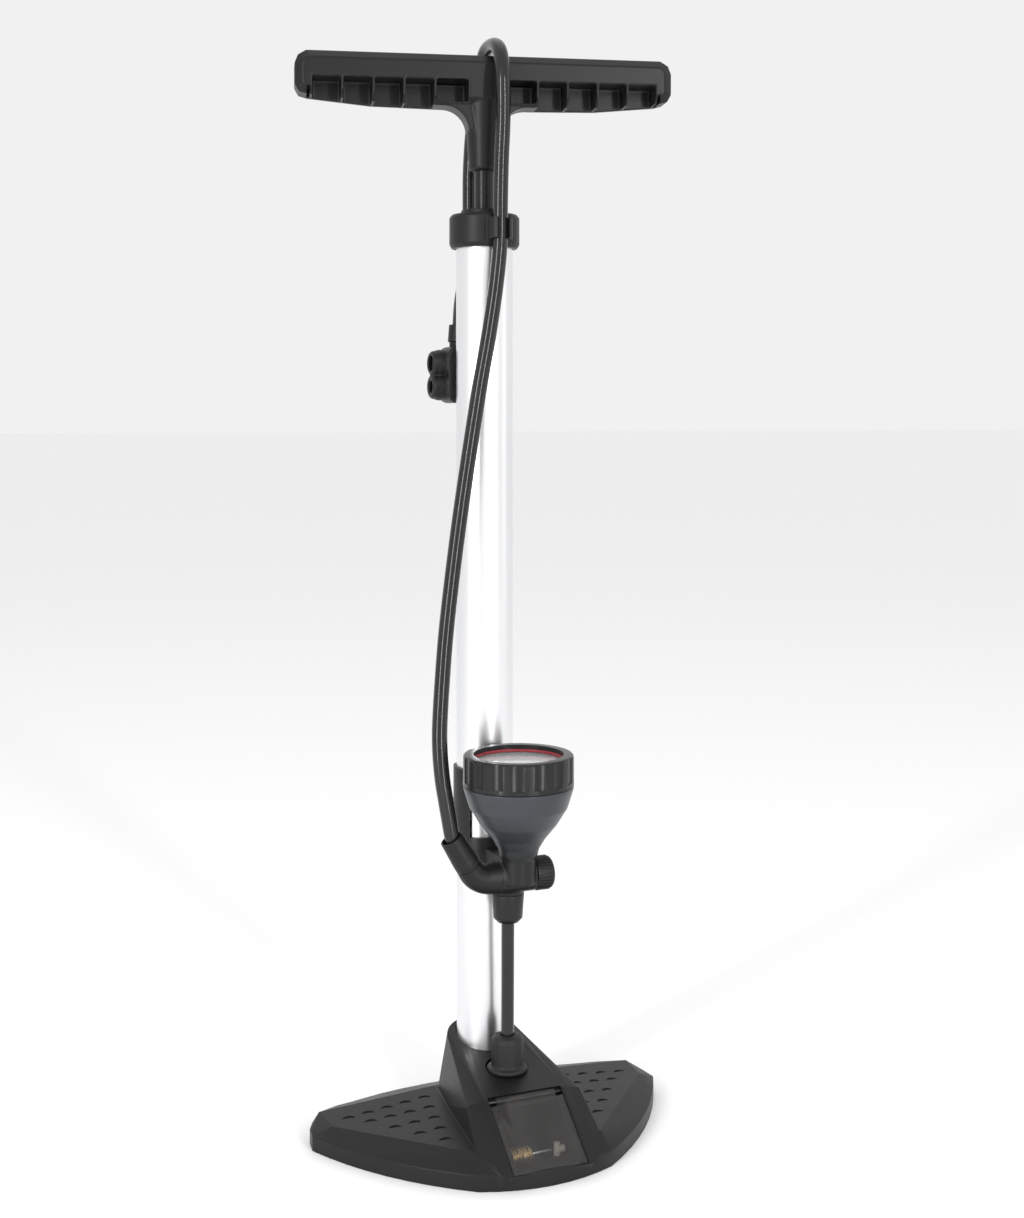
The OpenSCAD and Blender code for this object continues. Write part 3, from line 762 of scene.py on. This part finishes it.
def smooth_path(points: Sequence[Point], parts: int) -> list[Vector]:
    """Points along a smooth curve through a route.

    Args:
        points: The route's points.
        parts: The number of steps between two points.

    Returns:
        The curve's points.
    """
    route = [Vector(p) for p in points]
    last = len(route) - 1
    path = []
    for i in range(last):
        a, b, c, d = (route[max(i - 1, 0)], route[i], route[i + 1], route[min(i + 2, last)])
        for k in range(parts):
            t = k / parts
            path.append(0.5 * (2 * b + (c - a) * t + (2 * a - 5 * b + 4 * c - d) * t * t
                               + (3 * b - a - 3 * c + d) * t ** 3))
    path.append(route[last])
    return path


def path_curve(name: str, path: Sequence[Vector]) -> bpy.types.Object:
    """A bare curve along a path.

    Args:
        name: The curve's name.
        path: Its points.

    Returns:
        The curve's object.
    """
    curve = bpy.data.curves.new(name, "CURVE")
    curve.dimensions = "3D"
    line = curve.splines.new("POLY")
    line.points.add(len(path) - 1)
    for slot, point in zip(line.points, path):
        slot.co = (*point, 1.0)
    return link(bpy.data.objects.new(name, curve))


def swept(name: str, path: Sequence[Vector], radius: float, material: bpy.types.Material,
          end_radius: float | None = None, sides: int = 32) -> bpy.types.Object:
    """A round tube that follows a path, grown by a geometry tree.

    Args:
        name: The piece's name.
        path: The points that it follows.
        radius: Its radius at the start.
        material: Its material.
        end_radius: Its radius at the end, or None for the same.
        sides: The number of its sides.

    Returns:
        The piece.
    """
    geo = GeoTree(name + "_tree")
    ring = geo.node("GeometryNodeCurvePrimitiveCircle", Radius=geo.size("Radius", radius),
                    Resolution=geo.size("Sides", sides, whole=True))
    narrowing = geo.size("Narrowing", (end_radius or radius) / radius - 1)
    along = geo.node("GeometryNodeSplineParameter", output="Factor")
    scale = geo.node("ShaderNodeMath", {"operation": "MULTIPLY_ADD"})
    slots = scale.socket.node.inputs
    for slot, value in zip(slots, (along, narrowing, 1.0)):
        connect(geo.tree, slot, value)
    tube = geo.node("GeometryNodeCurveToMesh", Curve=geo.source(), Profile_Curve=ring, Scale=scale,
                    Fill_Caps=True)
    return geo.grow(name, tube, material, path_curve(name + "_line", path))


def ring_of_bars(name: str, count: int, radius: float, bar: Point, start: Point, axis: Axis,
                 material: bpy.types.Material, sweep: float = 360.0,
                 first: float = 0.0) -> bpy.types.Object:
    """Small bars set round a circle, grown by a geometry tree.

    Args:
        name: The piece's name.
        count: The number of bars.
        radius: The circle's radius.
        bar: A bar's size outwards, round the circle and along the axis.
        start: The circle's centre, in the middle of the bars.
        axis: The circle's axis.
        material: Their material.
        sweep: The arc that they fill, in degrees.
        first: The first bar's angle, in degrees.

    Returns:
        The piece.
    """
    geo = GeoTree(name + "_tree")
    number = geo.size("Count", count, whole=True)
    whole = abs(sweep) >= 359.9
    arc = geo.node("GeometryNodeMeshLine", {"mode": "OFFSET"}, Count=number)
    index = geo.node("GeometryNodeInputIndex")
    step = geo.size("Step", math.radians(sweep) / (count if whole else count - 1))
    angle = index * step + geo.size("First", math.radians(first))
    reach = geo.size("Radius", radius)
    cosine = geo.node("ShaderNodeMath", {"operation": "COSINE"}, Value=angle)
    sine = geo.node("ShaderNodeMath", {"operation": "SINE"}, Value=angle)
    spot = geo.node("ShaderNodeCombineXYZ", X=cosine * reach, Y=sine * reach, Z=0.0)
    turn = geo.node("ShaderNodeCombineXYZ", X=0.0, Y=0.0, Z=angle)
    placed = geo.node("GeometryNodeSetPosition", Geometry=arc, Position=spot)
    cube = geo.node("GeometryNodeMeshCube", Size=bar)
    bars = geo.node("GeometryNodeInstanceOnPoints", Points=placed, Instance=cube, Rotation=turn)
    tilt = {Axis.X: (0.0, math.pi / 2, 0.0), Axis.Y: (-math.pi / 2, 0.0, 0.0), Axis.Z: (0.0, 0.0, 0.0)}
    ready = geo.node("GeometryNodeTransform", Geometry=bars, Translation=start, Rotation=tilt[axis])
    piece = geo.grow(name, ready, material)
    sharpen(piece.data)
    return piece


def seat(piece: bpy.types.Object, body: Body, slot: str, *nodes: str) -> bpy.types.Object:
    """Let a piece ride on a body and stand for CAD nodes.

    Args:
        piece: The piece.
        body: The body that carries it.
        slot: The name of the piece's material slot; not used.
        nodes: The CAD nodes that it replaces.

    Returns:
        The piece.
    """
    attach(piece, body.value)
    if nodes:
        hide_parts(*nodes)
    LOG.info("%s rides on %s, %d faces", piece.name, body.value, len(getattr(piece.data, "polygons", ())))
    return piece


@dataclass(frozen=True)
class Copy:
    """A piece with the shape of one CAD node, whose sharp edges are broken."""

    piece: str
    node: str
    material: bpy.types.Material
    slot: str
    round: float
    body: Body = Body.BASE
    angle: float = 40.0
    crease: float = 38.0

    def make(self) -> bpy.types.Object:
        """Make the piece and let it ride on its body.

        Returns:
            The piece.
        """
        made = edged(self.piece, [self.node], self.material, self.round, self.angle, self.crease)
        return seat(made, self.body, self.slot, self.node)


def make_all(*copies: Copy) -> None:
    """Make several copies in order.

    Args:
        copies: The copies.
    """
    for copy in copies:
        copy.make()


def joined(name: str, parts: Sequence[bpy.types.Object]) -> bpy.types.Object:
    """Several pieces made into one, which keeps the first one's material.

    Args:
        name: The new piece's name.
        parts: The pieces.

    Returns:
        The piece.
    """
    shape = bmesh.new()
    for part in parts:
        shape.from_mesh(part.data)
    mesh = bpy.data.meshes.new(name)
    shape.to_mesh(mesh)
    shape.free()
    material = parts[0].data.materials[0]
    for part in parts:
        bpy.data.objects.remove(part)
    sharpen(mesh)
    return new_piece(name, mesh, material)


def arc(centre: tuple[float, float], radius: float, start: float, end: float,
        steps: int = 6) -> list[tuple[float, float]]:
    """Points on a circular arc.

    Args:
        centre: The arc's centre.
        radius: Its radius.
        start: Its first angle, in degrees.
        end: Its last angle, in degrees.
        steps: The number of steps.

    Returns:
        The points.
    """
    angles = [math.radians(start + (end - start) * k / steps) for k in range(steps + 1)]
    return [(centre[0] + radius * math.cos(a), centre[1] + radius * math.sin(a)) for a in angles]


# ---------- the sub-assemblies ----------


@dataclass
class Barrel:
    """The polished tube, what is inside it, and the rod that slides in it."""

    radius: float = 17.8 * MM
    wall: float = 1.6 * MM
    edge: float = 0.3 * MM
    foot: float = 10 * MM
    top: float = 560 * MM
    rod_radius: float = 6.2 * MM
    rod_foot: float = 49.4 * MM
    rod_top: float = 632 * MM

    def build(self, looks: Finishes) -> None:
        """Make the tube, the rod and the pieces in the tube.

        Args:
            looks: The materials.
        """
        outer, inner, edge = self.radius, self.radius - self.wall, self.edge
        outline = [(inner, self.foot), (outer - edge, self.foot), (outer, self.foot + edge),
                   (outer, self.top - edge), (outer - edge, self.top), (inner, self.top)]
        tube = turned("barrel_tube", outline, (0, 0, 0), Axis.Z, looks.tube, steps=160)
        seat(tube, Body.BASE, "barrel_metal", "barrel")
        rod = turned("sliding_rod", [(0, self.rod_foot), (self.rod_radius, self.rod_foot),
                                     (self.rod_radius, self.rod_top), (0, self.rod_top)],
                     (0, 0, 0), Axis.Z, looks.rod, closed=False)
        seat(rod, Body.HANDLE, "black_metal", "piston_rod")
        make_all(
            Copy("tube_foot_plug", "foot_plug", looks.shell, "black_plastic", 0.3 * MM),
            Copy("inlet_valve", "check_valve", looks.red_rubber, "red_rubber", 0.2 * MM),
            Copy("rod_guide", "rod_bushing", looks.shell, "black_plastic", 0.3 * MM),
            Copy("piston_block", "piston", looks.shell, "black_plastic", 0.3 * MM, Body.PISTON),
            Copy("piston_lip", "piston_seal", looks.rubber, "rubber", 0.2 * MM, Body.PISTON))


@dataclass
class Collar:
    """The black cap on the tube's top end, with its hose clip."""

    voxel: float = 0.4 * MM
    passes: int = 3

    def build(self, looks: Finishes) -> None:
        """Make the collar.

        Args:
            looks: The materials.
        """
        cap = moulded("top_collar", ["collar"], looks.shell, self.voxel, self.passes)
        seat(cap, Body.BASE, "black_plastic", "collar")


@dataclass
class Handle:
    """The T-handle with ribbed hollows under its two arms."""

    voxel: float = 0.55 * MM
    passes: int = 9

    def build(self, looks: Finishes) -> None:
        """Make the handle.

        Args:
            looks: The materials.
        """
        grip = moulded("t_handle", ["handle"], looks.handle, self.voxel, self.passes)
        seat(grip, Body.HANDLE, "handle_plastic", "handle")
        make_all(Copy("rod_insert", "handle_insert", looks.steel, "steel", 0.2 * MM, Body.HANDLE))


@dataclass
class Base:
    """The two-winged foot with its closing plate, screws and grip pads."""

    round: float = 0.5 * MM
    angle: float = 18.0
    crease: float = 32.0
    least: float = 6 * MM

    def build(self, looks: Finishes) -> None:
        """Make the base.

        Args:
            looks: The materials.
        """
        shell = edged("base_housing", ["base_shell"], looks.shell, self.round, self.angle, self.crease,
                      self.least)
        seat(shell, Body.BASE, "black_plastic", "base_shell")
        make_all(
            Copy("closing_plate", "base_plate", looks.shell, "black_plastic", 0.4 * MM),
            Copy("plate_screws", "base_screws", looks.steel, "steel", 0.15 * MM),
            Copy("foot_pads", "grip_pads", looks.rubber, "rubber", 0.25 * MM))


@dataclass
class StorageDoor:
    """The smoked door of the storage pocket, and the spares behind it."""

    coil_start: Point = (-17.2 * MM, -82 * MM, 9.4 * MM)
    coil_radius: float = 5.0 * MM
    coil_pitch: float = 2.1 * MM
    coil_turns: int = 6
    coil_steps: int = 24
    wire_radius: float = 0.45 * MM

    def coil(self) -> list[Vector]:
        """Points along the turns round the brass adapter."""
        x, y, z = self.coil_start
        count = self.coil_steps * self.coil_turns
        turns = [k / self.coil_steps for k in range(count + 1)]
        return [Vector((x + self.coil_pitch * t, y + self.coil_radius * math.cos(2 * math.pi * t),
                        z + self.coil_radius * math.sin(2 * math.pi * t))) for t in turns]

    def build(self, looks: Finishes) -> None:
        """Make the door, its pin and the spares.

        Args:
            looks: The materials.
        """
        make_all(
            Copy("pocket_door", "storage_door", looks.smoked, "smoked_door", 0.4 * MM, Body.DOOR),
            Copy("door_hinge_pin", "door_pin", looks.dark_steel, "steel", 0.2 * MM),
            Copy("threaded_adapter", "brass_adapter", looks.brass, "brass", 0.15 * MM))
        thread = swept("adapter_thread", self.coil(), self.wire_radius, looks.brass, sides=10)
        seat(thread, Body.BASE, "brass")
        make_all(
            Copy("inflating_needle", "ball_needle", looks.steel, "steel", 0.1 * MM),
            Copy("spare_nozzle", "tapered_nozzle", looks.nylon, "pale_plastic", 0.2 * MM))


@dataclass
class Gauge:
    """The upward-facing gauge on its valve block, with bezel, dial and pointer."""

    centre: Point = (0.0, -55 * MM, 0.0)
    dial_z: float = 229.35 * MM
    tick_radius: float = 24 * MM
    tick: Point = (3 * MM, 0.5 * MM, 0.1 * MM)
    ticks: int = 31
    sweep: float = 270.0
    first_tick: float = -225.0
    voxel: float = 0.5 * MM
    passes: int = 4

    def build(self, looks: Finishes) -> None:
        """Make the gauge and the block that carries it.

        Args:
            looks: The materials.
        """
        cup = moulded("gauge_housing", ["gauge_cup", "valve_block"], looks.cup, self.voxel, self.passes)
        seat(cup, Body.BASE, "cup_plastic", "gauge_cup", "valve_block")
        make_all(
            Copy("bezel_ring", "gauge_bezel", looks.bezel, "bezel_plastic", 0.4 * MM, Body.BEZEL, 25, 24),
            Copy("marker_ring", "target_ring", looks.red, "red_plastic", 0.25 * MM, Body.BEZEL),
            # The lens's white look is a painted reflection carried by its material.
            Copy("front_lens", "gauge_lens", looks.lens, "clear_lens", 0.25 * MM),
            Copy("dial_disc", "dial_plate", looks.dial, "dial", 0.1 * MM),
            Copy("pointer", "gauge_needle", looks.red, "red_plastic", 0.1 * MM, Body.NEEDLE),
            Copy("pointer_post", "needle_post", looks.steel, "steel", 0.1 * MM),
            Copy("gauge_works", "gauge_movement", looks.brass, "brass", 0.2 * MM))
        marks = ring_of_bars("dial_marks", self.ticks, self.tick_radius, self.tick,
                             (self.centre[0], self.centre[1], self.dial_z), Axis.Z, looks.ink,
                             self.sweep, self.first_tick)
        seat(marks, Body.BASE, "dial")
        make_all(
            Copy("tube_bracket", "gauge_bracket", looks.grey, "grey_plastic", 0.5 * MM),
            Copy("clamp_screw", "bracket_screw", looks.steel, "steel", 0.2 * MM))


@dataclass
class ReleaseKnob:
    """The knurled knob at the end of the valve block."""

    place: Point = (11.4 * MM, -50 * MM, 166.4 * MM)
    radius: float = 9.85 * MM
    length: float = 11.3 * MM
    foot_round: float = 0.4 * MM
    fillet: float = 1.8 * MM
    dish_radius: float = 6.2 * MM
    dish_depth: float = 0.5 * MM
    ridges: int = 30
    ridge: tuple[float, float] = (0.9 * MM, 1.1 * MM)
    ridge_share: float = 0.68
    ridge_middle: float = 0.46

    def build(self, looks: Finishes) -> None:
        """Make the knob.

        Args:
            looks: The materials.
        """
        radius, length, foot, fillet = self.radius, self.length, self.foot_round, self.fillet
        dish, floor = self.dish_radius, length - self.dish_depth
        outline = [(0, 0), *arc((radius - foot, foot), foot, -90, 0, 3),
                   *arc((radius - fillet, length - fillet), fillet, 0, 90),
                   (dish, length), (dish - self.foot_round, floor), (0, floor)]
        core = turned("knob_core", outline, self.place, Axis.X, looks.grey, closed=False)
        middle = (self.place[0] + length * self.ridge_middle, self.place[1], self.place[2])
        bar = (*self.ridge, length * self.ridge_share)
        ridges = ring_of_bars("knob_ridges", self.ridges, radius, bar, middle, Axis.X, looks.grey)
        seat(joined("turning_knob", [core, ridges]), Body.KNOB, "grey_plastic", "release_knob")


@dataclass
class LowerHose:
    """The short hose from the base up to the valve block, with its boot and socket."""

    radius: float = 3.95 * MM
    voxel: float = 0.4 * MM
    passes: int = 10
    route: tuple[Point, ...] = ((0, -37.5, 30), (0, -37.5, 50), (0, -37.7, 68), (-0.4, -38.9, 88),
                                (-1, -40.5, 108), (-1.5, -41.8, 126), (-1.5, -42, 140))

    def build(self, looks: Finishes) -> None:
        """Make the hose, its boot and its socket.

        Args:
            looks: The materials.
        """
        path = smooth_path([Vector(p) * MM for p in self.route], 6)
        seat(swept("supply_hose", path, self.radius, looks.hose), Body.BASE, "hose_rubber", "lower_hose")
        boot = moulded("hose_boot", ["lower_boot"], looks.rubber, self.voxel, self.passes)
        seat(boot, Body.BASE, "rubber", "lower_boot")
        make_all(Copy("hose_socket", "socket_nut", looks.grey, "grey_plastic", 0.5 * MM))


@dataclass
class MainHose:
    """The long air hose: elbow, ferrule, the hose itself and the pump head's ferrule."""

    radius: float = 4.7 * MM
    bend_start: float = 570 * MM
    bend_end: float = 660 * MM
    elbow_radius: float = 9.8 * MM
    elbow_end: float = 8 * MM
    route: tuple[Point, ...] = (
        (-37.8, -50, 188), (-40.6, -49.8, 193.4), (-42.4, -49, 204), (-44.2, -48, 216), (-46, -47, 229),
        (-46.9, -45.5, 246), (-46.3, -44, 262), (-43.7, -41.5, 288), (-40.7, -40, 316), (-35.8, -38, 350),
        (-30, -36, 386), (-23.2, -34, 424), (-15.8, -31.5, 462), (-8.4, -29, 496), (-2.7, -27, 528),
        (0, -26, 552), (0, -26.5, 575), (0, -28, 600), (0.7, -29, 625), (0.9, -28.5, 645),
        (1.5, -25.5, 660), (2.6, -17.5, 671.2), (3.8, -4.5, 675.9), (4.6, 9.4, 674.2), (5.2, 19, 663),
        (4.2, 23.5, 648), (1.8, 25.5, 625), (0.6, 26.5, 600), (0.8, 27.5, 575), (0.6, 28.5, 550),
        (-2, 29.2, 532), (-4.4, 29.8, 516), (-5.5, 30, 497))
    elbow_start: Point = (-12, -50, 166.4)
    elbow_tip: Point = (-30, -50, 174.8)
    elbow_tilt: float = 31.8
    elbow_bend: float = 13.1

    def elbow_path(self) -> list[Point]:
        """The elbow's route, in millimetres: straight, round its bend, and up to the ferrule."""
        x, y, z = self.elbow_start
        tilt, turn = math.radians(self.elbow_tilt), math.radians(90 - self.elbow_tilt)
        corner = self.elbow_tip[0] + (self.elbow_tip[2] - z) * math.tan(tilt)
        bend_x = corner + self.elbow_bend * math.tan(turn / 2)
        bend = [(bend_x - self.elbow_bend * math.sin(turn * k / 6), y,
                 z + self.elbow_bend * (1 - math.cos(turn * k / 6))) for k in range(7)]
        end = (self.elbow_tip[0] + 0.1 * math.sin(tilt), y, self.elbow_tip[2] - 0.1 * math.cos(tilt))
        return [(x, y, z), ((x + bend_x) / 2, y, z), *bend, end]

    def build(self, looks: Finishes) -> None:
        """Args:
            looks: The materials.
        """
        path = smooth_path([Vector(p) * MM for p in self.route], 10)
        length = sum((b - a).length for a, b in zip(path, path[1:]))
        hose = swept("air_hose", path, self.radius, looks.hose)
        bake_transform(hose)
        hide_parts("main_hose")
        end = Copy("head_sleeve", "head_ferrule", looks.head, "head_plastic", 0.4 * MM).make()
        LOG.info("air_hose is %.3f m long", length)
        bend = swept("hose_elbow_piece", smooth_path([Vector(p) * MM for p in self.elbow_path()], 4),
                     self.elbow_radius, looks.shell, end_radius=self.elbow_end, sides=48)
        sharpen(bend.data)
        seat(bend, Body.BASE, "black_plastic", "hose_elbow")
        make_all(Copy("elbow_ferrule", "hose_ferrule", looks.shell, "black_plastic", 0.5 * MM))


@dataclass
class PumpHead:
    """The twin-port pump head parked behind the tube, with its lever."""

    voxel: float = 0.55 * MM
    passes: int = 24

    def build(self, looks: Finishes) -> None:
        """Make the pump head.

        Args:
            looks: The materials.
        """
        body = moulded("head_housing", ["head_body", "head_cap"], looks.head, self.voxel, self.passes)
        seat(body, Body.BASE, "head_plastic", "head_body", "head_cap")
        make_all(
            Copy("valve_seals", "port_gaskets", looks.rubber, "rubber", 0.3 * MM),
            Copy("locking_lever", "head_lever", looks.head, "head_plastic", 0.6 * MM, Body.LEVER),
            Copy("lever_axle", "lever_pin", looks.steel, "steel", 0.15 * MM))


@dataclass(frozen=True)
class SoftBox:
    """One soft box, which faces a point on the barrel's axis."""

    name: str
    place: Point
    aim: float
    size: tuple[float, float]
    power: float

    def hang(self) -> None:
        """Hang it."""
        data = bpy.data.lights.new(self.name, "AREA")
        data.shape = "RECTANGLE"
        data.size, data.size_y = self.size
        data.energy = self.power
        lamp = link(bpy.data.objects.new(self.name, data))
        lamp.location = self.place
        facing = Vector((0, 0, self.aim)) - Vector(self.place)
        lamp.rotation_euler = facing.to_track_quat("-Z", "Y").to_euler()


@dataclass
class Studio:
    """Camera, floor and soft lights."""

    distance: float = 1.032
    height: float = 0.4452
    azimuth: float = 21.76
    heading: float = 22.722
    pitch: float = 1.66
    lens: float = 48.414
    shift_y: float = -0.12
    sky: float = 0.88
    floor_colour: Colour = (0.96, 0.96, 0.96)
    floor_size: float = 40.0
    boxes: tuple[SoftBox, ...] = (
        SoftBox("key", (-1.6, -1.5, 1.3), 0.35, (0.9, 1.6), 2.5),
        SoftBox("fill", (1.9, -0.9, 0.9), 0.3, (0.6, 1.6), 1.5),
        SoftBox("top", (0.2, 0.4, 2.2), 0.2, (1.4, 1.4), 2.5),
        SoftBox("left_strip", (-1.73, -1.0, 0.7), 0.45, (0.15, 1.8), 22),
        SoftBox("right_strip", (0.22, -1.99, 0.7), 0.45, (0.13, 1.8), 20))

    def camera(self) -> None:
        """Put the camera at its place."""
        data = bpy.data.cameras.new("camera")
        data.lens = self.lens
        data.sensor_width = 36.0
        data.shift_y = self.shift_y
        data.clip_end = 200.0
        eye = link(bpy.data.objects.new("camera", data))
        around = math.radians(self.azimuth)
        eye.location = (-self.distance * math.sin(around), -self.distance * math.cos(around), self.height)
        eye.rotation_euler = (math.radians(90 - self.pitch), 0.0, -math.radians(self.heading))
        bpy.context.scene.camera = eye

    def floor(self) -> None:
        """Lay a plain pale floor."""
        g = Graph("studio_floor")
        material = g.finish(Base_Color=self.floor_colour, Roughness=0.6)
        shape = bmesh.new()
        bmesh.ops.create_grid(shape, x_segments=1, y_segments=1, size=self.floor_size)
        mesh = bpy.data.meshes.new("floor")
        shape.to_mesh(mesh)
        shape.free()
        new_piece("floor", mesh, material)

    def light(self) -> None:
        """Light the scene softly from the sky and the soft boxes."""
        world = bpy.data.worlds.new("sky")
        world.use_nodes = True
        sky = world.node_tree.nodes["Background"]
        sky.inputs["Color"].default_value = (1.0, 1.0, 1.0, 1.0)
        sky.inputs["Strength"].default_value = self.sky
        bpy.context.scene.world = world
        for box in self.boxes:
            box.hang()

    def build(self) -> None:
        """Make the whole studio."""
        self.camera()
        self.floor()
        self.light()
        bpy.context.scene.view_settings.view_transform = "Standard"


def main() -> None:
    """Build every sub-assembly in order."""
    logging.basicConfig(level=logging.INFO, format="%(name)s: %(message)s")
    Studio().build()
    looks = Finishes.make()
    MainHose().build(looks)
    for part in (Base(), StorageDoor(), Barrel(), Collar(), Handle(), LowerHose(), Gauge(),
                 ReleaseKnob(), PumpHead()):
        part.build(looks)
        LOG.info("%s done", type(part).__name__)


if __name__ == "__main__":
    main()
